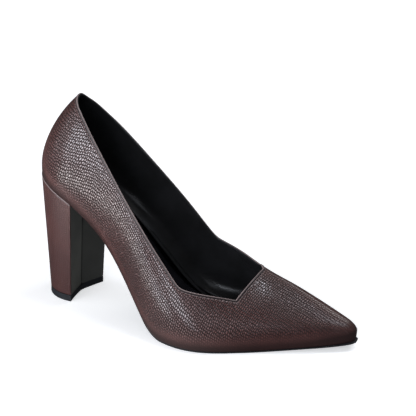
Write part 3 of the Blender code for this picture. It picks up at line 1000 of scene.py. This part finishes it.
def make_heel_leather(finish):
    """Leather skin round the back and sides of the heel."""
    low = at_height(heel_outline(COVER_PROUD, base=True), HEEL_BASE)
    plan = heel_outline(COVER_PROUD, base=False)
    high = at_height(plan, seat(*plan) - GAP)
    part = np.linspace(0, 1, COVER_ROWS)[:, None, None]
    points = low[None] * (1 - part) + high[None] * part
    work = grid_sheet(points)
    row_of, column_of = row_and_column(work)
    cut = work.verts.layers.float_vector.new("cut")
    pulled = work.verts.layers.float.new("pulled")
    round_length = lengths_along(high)
    for vert in work.verts:
        height = points[vert[row_of], vert[column_of], 2]
        vert[cut] = Vector((height, round_length[vert[column_of]], PAST_FOLD))
        vert[pulled] = HEEL_PULL
    outward_sheet(work)
    cover = add_piece("heel_leather", work, finish, "heel_cover")
    thicken(cover, COVER_THICKNESS)
    round_edges(cover, COVER_ROUNDING)


def make_heel_seam(finish):
    """Pale bead where the heel leather meets the upper."""
    path = at_height(heel_outline(COVER_PROUD - SEAM_INSET, base=False), 0)
    path[:, 2] = seat(path[:, 0], path[:, 1]) - GAP / 2
    add_piece("heel_seam", bead(path, SEAM_RADIUS, SEAM_END_RADIUS), finish, "heel_cover")


def make_heel_tip(finish):
    """Rubber top lift that the heel stands on."""
    plan = heel_grid(COVER_PROUD - LIFT_INSET, base=True)
    work = block_between(at_height(plan, 0), at_height(plan, LIFT_HEIGHT))
    lift = add_piece("heel_tip", work, finish, "top_lift")
    round_edges(lift, LIFT_ROUNDING)


def bead(path, radius, end_radius):
    """Thin round bead along a path, drawn in and closed at both ends."""
    along = np.gradient(path, axis=0)
    along /= np.linalg.norm(along, axis=1)[:, None]
    side = np.cross(along, (0, 0, 1))
    side /= np.linalg.norm(side, axis=1)[:, None]
    up = np.cross(side, along)
    turn = np.linspace(0, 2 * np.pi, BEAD_SIDES + 1)[None, :, None]
    size = np.full(len(path), radius)
    size[[0, -1]] = end_radius
    size = size[:, None, None]
    points = path[:, None] + (side[:, None] * np.cos(turn) + up[:, None] * np.sin(turn)) * size
    work = grid_sheet(points)
    bmesh.ops.remove_doubles(work, verts=work.verts, dist=BEAD_MERGE * MM)
    bmesh.ops.holes_fill(work, edges=work.edges[:], sides=BEAD_SIDES)
    bmesh.ops.recalc_face_normals(work, faces=work.faces)
    return work


class Nodes:
    """Short way to add and link shader nodes in one tree."""

    def __init__(self, tree):
        self.tree = tree

    def feed(self, socket, value):
        """Links a socket to another one or sets its own value; a colour given as three numbers is opaque."""
        if isinstance(value, bpy.types.NodeSocket):
            self.tree.links.new(value, socket)
        elif socket.type == "RGBA":
            socket.default_value = (*value, 1)
        else:
            socket.default_value = value

    def fill(self, node, inputs):
        """Links or sets some of a node's inputs."""
        for name, value in inputs.items():
            self.feed(node.inputs[name], value)

    def add(self, kind, inputs=None, **settings):
        """A new node with its settings and inputs."""
        node = self.tree.nodes.new(kind)
        for name, value in settings.items():
            setattr(node, name, value)
        self.fill(node, inputs or {})
        return node

    def math(self, operation, *values):
        return self.add("ShaderNodeMath", dict(enumerate(values)), operation=operation).outputs[0]

    def vector(self, operation, *values):
        """Result of a vector operation: a length or distance as a number, any other as a vector."""
        made = self.add("ShaderNodeVectorMath", dict(enumerate(values)), operation=operation)
        return made.outputs["Value" if operation in ("LENGTH", "DISTANCE") else "Vector"]

    def noise(self, place, scale, detail):
        return self.add("ShaderNodeTexNoise", {"Vector": place, "Scale": scale, "Detail": detail}).outputs

    def attribute(self, name):
        return self.add("ShaderNodeAttribute", attribute_name=name).outputs

    def place(self):
        return self.add("ShaderNodeTexCoord").outputs["Object"]

    def ramp(self, value, low, high, kind="SMOOTHSTEP"):
        """0 at low, 1 at high."""
        ends = {"Value": value, "From Min": low, "From Max": high}
        return self.add("ShaderNodeMapRange", ends, interpolation_type=kind).outputs["Result"]

    def blend(self, part, first, second):
        """Colour between two others."""
        return self.add("ShaderNodeMix", {0: part, 6: first, 7: second}, data_type="RGBA").outputs[2]

    def grey(self, value):
        return self.add("ShaderNodeCombineColor", {"Red": value, "Green": value, "Blue": value}).outputs[0]


def new_group(name, takes, gives):
    """Shader node group with named sockets; returns it with its nodes and its ends."""
    group = bpy.data.node_groups.new(name, "ShaderNodeTree")
    for label, kind in takes:
        group.interface.new_socket(label, in_out="INPUT", socket_type=kind)
    for label, kind in gives:
        group.interface.new_socket(label, in_out="OUTPUT", socket_type=kind)
    nodes = Nodes(group)
    start = nodes.add("NodeGroupInput")
    end = nodes.add("NodeGroupOutput")
    return group, nodes, start.outputs, end.inputs


def embossed_grain_group():
    """Pressed grain: rows of short raised cells along the cut, uneven, flat where the leather is pulled."""
    group, nodes, start, end = new_group(
        "embossed grain",
        [("Cut", "NodeSocketVector"), ("Place", "NodeSocketVector"), ("Cell Along", "NodeSocketFloat"),
         ("Cell Across", "NodeSocketFloat"), ("Pulled", "NodeSocketFloat")],
        [("Height", "NodeSocketFloat"), ("Crevice", "NodeSocketFloat"), ("Mottle", "NodeSocketFloat")],
    )
    drift = nodes.noise(start["Place"], *WANDER_NOISE)["Color"]
    wander = nodes.vector("SUBTRACT", drift, (0.5, 0.5, 0.5))
    moved = nodes.vector("ADD", start["Cut"], nodes.vector("MULTIPLY", wander, ROW_WANDER))
    parts = nodes.add("ShaderNodeSeparateXYZ", {"Vector": moved}).outputs
    cell_place = nodes.add("ShaderNodeCombineXYZ", {
        "X": nodes.math("DIVIDE", parts[0], start["Cell Along"]),
        "Y": nodes.math("DIVIDE", parts[1], start["Cell Across"]),
    })
    cells = nodes.add("ShaderNodeTexVoronoi", voronoi_dimensions="2D", feature="DISTANCE_TO_EDGE")
    nodes.fill(cells, {"Vector": cell_place.outputs[0], "Scale": 1.0, "Randomness": CELL_UNEVENNESS})
    slope = nodes.ramp(cells.outputs["Distance"], 0.0, CELL_SLOPE, "LINEAR")
    hollow = nodes.math("SUBTRACT", 1.0, slope)
    raised = nodes.math("SUBTRACT", 1.0, nodes.math("MULTIPLY", hollow, hollow))
    uneven = nodes.math("MULTIPLY_ADD", nodes.noise(moved, *FINE_NOISE)["Fac"], FINE_PART, raised)
    flat = nodes.math("MULTIPLY_ADD", start["Pulled"], -GRAIN_LOSS, 1.0)
    nodes.feed(end["Height"], nodes.math("MULTIPLY", uneven, flat))
    nodes.feed(end["Crevice"], nodes.math("MULTIPLY", nodes.math("POWER", hollow, CREVICE_POWER), flat))
    nodes.feed(end["Mottle"], nodes.noise(start["Place"], *MOTTLE_NOISE)["Fac"])
    return group


def fine_matte_group():
    """Very fine unevenness of moulded, woven or skived surfaces."""
    group, nodes, start, end = new_group(
        "fine unevenness",
        [("Place", "NodeSocketVector"), ("Scale", "NodeSocketFloat")],
        [("Height", "NodeSocketFloat"), ("Mottle", "NodeSocketFloat")],
    )
    nodes.feed(end["Height"], nodes.noise(start["Place"], start["Scale"], FINISH_DETAIL)["Fac"])
    nodes.feed(end["Mottle"], nodes.noise(start["Place"], *FINISH_NOISE)["Fac"])
    return group


def new_material(name):
    """An empty finish, with its nodes and its shader."""
    made = bpy.data.materials.new(name)
    made.use_nodes = True
    return made, Nodes(made.node_tree), made.node_tree.nodes["Principled BSDF"]


def brown_leather(grain):
    """Dark brown leather: pressed grain, smooth where it is pulled, painted shade that darkens the pulled
    bands, the crevices and a groove, and a painted highlight on the fold.
    """
    made, nodes, shader = new_material("brown_leather")
    cut = nodes.attribute("cut")["Vector"]
    pulled = nodes.attribute("pulled")["Fac"]
    pressed = nodes.add("ShaderNodeGroup", node_tree=grain)
    nodes.fill(pressed, {"Cut": cut, "Place": nodes.place(), "Pulled": pulled})
    nodes.fill(pressed, {"Cell Along": CELL_ALONG, "Cell Across": CELL_ACROSS})
    crevice = pressed.outputs["Crevice"]
    distance = nodes.add("ShaderNodeSeparateXYZ", {"Vector": cut}).outputs[2]
    # Painted highlight: a pale band along the folded edge
    fold = nodes.math("MULTIPLY", nodes.ramp(distance, *FOLD_HIGHLIGHT_END), FOLD_HIGHLIGHT_PART)
    # Painted shade: a dark line in the stitch groove
    groove = nodes.math("MULTIPLY", nodes.ramp(distance, *GROOVE_SHADE_START), nodes.ramp(distance, *GROOVE_SHADE_END))
    # Painted shade over the pulled bands, most of all along the feather edge, round the back and on the heel
    pulled_shade = nodes.math("MULTIPLY", nodes.math("MULTIPLY", pulled, pulled), PULLED_SHADE_PART)
    tone = nodes.blend(nodes.ramp(pressed.outputs["Mottle"], *BODY_MOTTLE), *BODY_TONES)
    tone = nodes.blend(pulled_shade, tone, PULLED_SHADE_TONE)
    # Painted shade in the grain's crevices
    tone = nodes.blend(crevice, tone, CREVICE_SHADE_TONE)
    tone = nodes.blend(nodes.math("MULTIPLY", groove, GROOVE_SHADE_PART), tone, GROOVE_SHADE_TONE)
    tone = nodes.blend(fold, tone, FOLD_HIGHLIGHT_TONE)
    rough = nodes.math("MULTIPLY_ADD", crevice, CREVICE_ROUGHNESS, LEATHER_ROUGHNESS)
    coat = nodes.math("POWER", nodes.math("SUBTRACT", 1.0, crevice), COAT_POWER)
    kept = nodes.math("MULTIPLY_ADD", pulled, -COAT_LOSS, 1.0)
    bump = nodes.add("ShaderNodeBump", {"Distance": GRAIN_DEPTH * MM, "Height": pressed.outputs["Height"]})
    nodes.fill(shader, {
        "Base Color": tone,
        "Roughness": nodes.math("MULTIPLY_ADD", pulled, PULLED_ROUGHNESS, rough),
        "Specular IOR Level": LEATHER_SPECULAR,
        "Coat Weight": nodes.math("MULTIPLY", coat, kept),
        "Coat Roughness": COAT_ROUGHNESS,
        "Coat IOR": COAT_IOR,
        "Normal": bump.outputs["Normal"],
    })
    return made


def plain_finish(fine, name, dark, light, roughness, fineness, depth, specular):
    """Finish with a fine uneven surface and a little change of tone, darker where a piece is shaded."""
    made, nodes, shader = new_material(name)
    uneven = nodes.add("ShaderNodeGroup", node_tree=fine)
    nodes.fill(uneven, {"Place": nodes.place(), "Scale": fineness})
    height, mottle = uneven.outputs
    tone = nodes.blend(nodes.ramp(mottle, *FINISH_MOTTLE), dark, light)
    lowest = roughness - ROUGHNESS_CHANGE / 2
    bump = nodes.add("ShaderNodeBump", {"Strength": FINISH_RELIEF, "Distance": depth * MM, "Height": height})
    nodes.fill(shader, {
        "Base Color": nodes.blend(nodes.attribute("shaded")["Fac"], tone, SHADED_TONE),
        "Roughness": nodes.math("MULTIPLY_ADD", mottle, ROUGHNESS_CHANGE, lowest),
        "Specular IOR Level": specular,
        "Normal": bump.outputs["Normal"],
    })
    return made


def make_finishes():
    """All finishes of the shoe by name."""
    leather = brown_leather(embossed_grain_group())
    fine = fine_matte_group()
    return {"leather": leather} | {key: plain_finish(fine, *look) for key, look in PLAIN_FINISHES.items()}


def aimed(back, roll):
    """Turn of a camera or light that looks along -back, rolled by some degrees."""
    back = Vector(back).normalized()
    right = Vector((-back.y, back.x, 0)).normalized()
    up = back.cross(right)
    turn = np.radians(roll)
    rolled = right * np.cos(turn) + up * np.sin(turn)
    return Matrix((rolled, back.cross(rolled), back)).transposed().to_4x4()


def make_camera():
    """The photograph's view, with its roll."""
    azimuth, elevation = np.radians((VIEW_AZIMUTH, VIEW_ELEVATION))
    level = np.cos(elevation)
    back = Vector((np.sin(azimuth) * level, -np.cos(azimuth) * level, np.sin(elevation)))
    lens = bpy.data.cameras.new("photo_view")
    lens.sensor_width = SENSOR_WIDTH
    lens.lens = SENSOR_WIDTH * FOCAL_PIXELS / PHOTO_PIXELS
    lens.clip_start = 0.01
    camera = bpy.data.objects.new("photo_view", lens)
    stand = Vector(placed(VIEW_AIM)) + back * (VIEW_DISTANCE * MM)
    camera.matrix_world = Matrix.Translation(stand) @ aimed(back, VIEW_ROLL)
    bpy.context.scene.collection.objects.link(camera)
    bpy.context.scene.camera = camera


def add_softbox(name, towards, distance, size, power, colour):
    """Soft light with an oblong face that shines at the shoe from a direction."""
    lamp = bpy.data.lights.new(name, "AREA")
    lamp.shape = "RECTANGLE"
    lamp.size, lamp.size_y = size
    lamp.energy = power
    lamp.color = colour
    light = bpy.data.objects.new(name, lamp)
    away = Vector(towards).normalized()
    light.matrix_world = Matrix.Translation(away * distance + Vector(LIGHT_AIM)) @ aimed(away, 0)
    bpy.context.scene.collection.objects.link(light)


def pale_paper():
    """Paper that the camera sees pale and evenly lit, and that lights the shoe from a few bright patches."""
    made, nodes, shader = new_material("pale_paper")
    place = nodes.place()
    seen = nodes.add("ShaderNodeLightPath").outputs["Is Camera Ray"]
    pale = nodes.blend(nodes.noise(place, *PAPER_NOISE)["Fac"], *PAPER_TONES)
    glow = nodes.math("MULTIPLY_ADD", nodes.ramp(nodes.vector("LENGTH", place), *GLOW_RUN), GLOW_GAIN, GLOW)
    x, y, _ = nodes.add("ShaderNodeSeparateXYZ", {"Vector": place}).outputs
    strip = nodes.math("MULTIPLY", nodes.ramp(x, *STRIP_X), nodes.ramp(y, *STRIP_Y))
    bounce = nodes.math("MULTIPLY", strip, STRIP_STRENGTH)
    for middle, reach, core, strength in FLOOR_PATCHES:
        patch = nodes.ramp(nodes.vector("DISTANCE", place, middle), reach, core)
        bounce = nodes.math("MULTIPLY_ADD", patch, strength, bounce)
    nodes.fill(shader, {
        "Base Color": nodes.blend(seen, UNLIT_PAPER, pale),
        "Roughness": PAPER_ROUGHNESS,
        "Specular IOR Level": PAPER_SPECULAR,
        "Emission Color": nodes.blend(seen, nodes.grey(bounce), nodes.grey(glow)),
        "Emission Strength": 1.0,
    })
    return made


def make_studio():
    """Pale paper floor, soft lights round the shoe and a faint even surround."""
    work = bmesh.new()
    bmesh.ops.create_grid(work, x_segments=1, y_segments=1, size=FLOOR_HALF)
    mesh = bpy.data.meshes.new("floor")
    work.to_mesh(mesh)
    work.free()
    mesh.materials.append(pale_paper())
    floor = bpy.data.objects.new("floor", mesh)
    bpy.context.scene.collection.objects.link(floor)
    world = bpy.data.worlds.new("pale_surround")
    world.use_nodes = True
    surround = {"Color": (1, 1, 1), "Strength": SURROUND_STRENGTH}
    Nodes(world.node_tree).fill(world.node_tree.nodes["Background"], surround)
    bpy.context.scene.world = world
    bpy.context.scene.view_settings.view_transform = "Standard"
    for name, softbox in SOFTBOXES.items():
        add_softbox(name, *softbox)


def main():
    """The dressed shoe with its view and light."""
    make_camera()
    finishes = make_finishes()
    make_upper(finishes)
    make_insole(finishes["footbed"])
    make_outsole(finishes["sole"])
    make_heel_core(finishes["breast"])
    make_heel_leather(finishes["leather"])
    make_heel_seam(finishes["seam"])
    make_heel_tip(finishes["rubber"])
    make_studio()
    bpy.context.view_layer.update()


main()
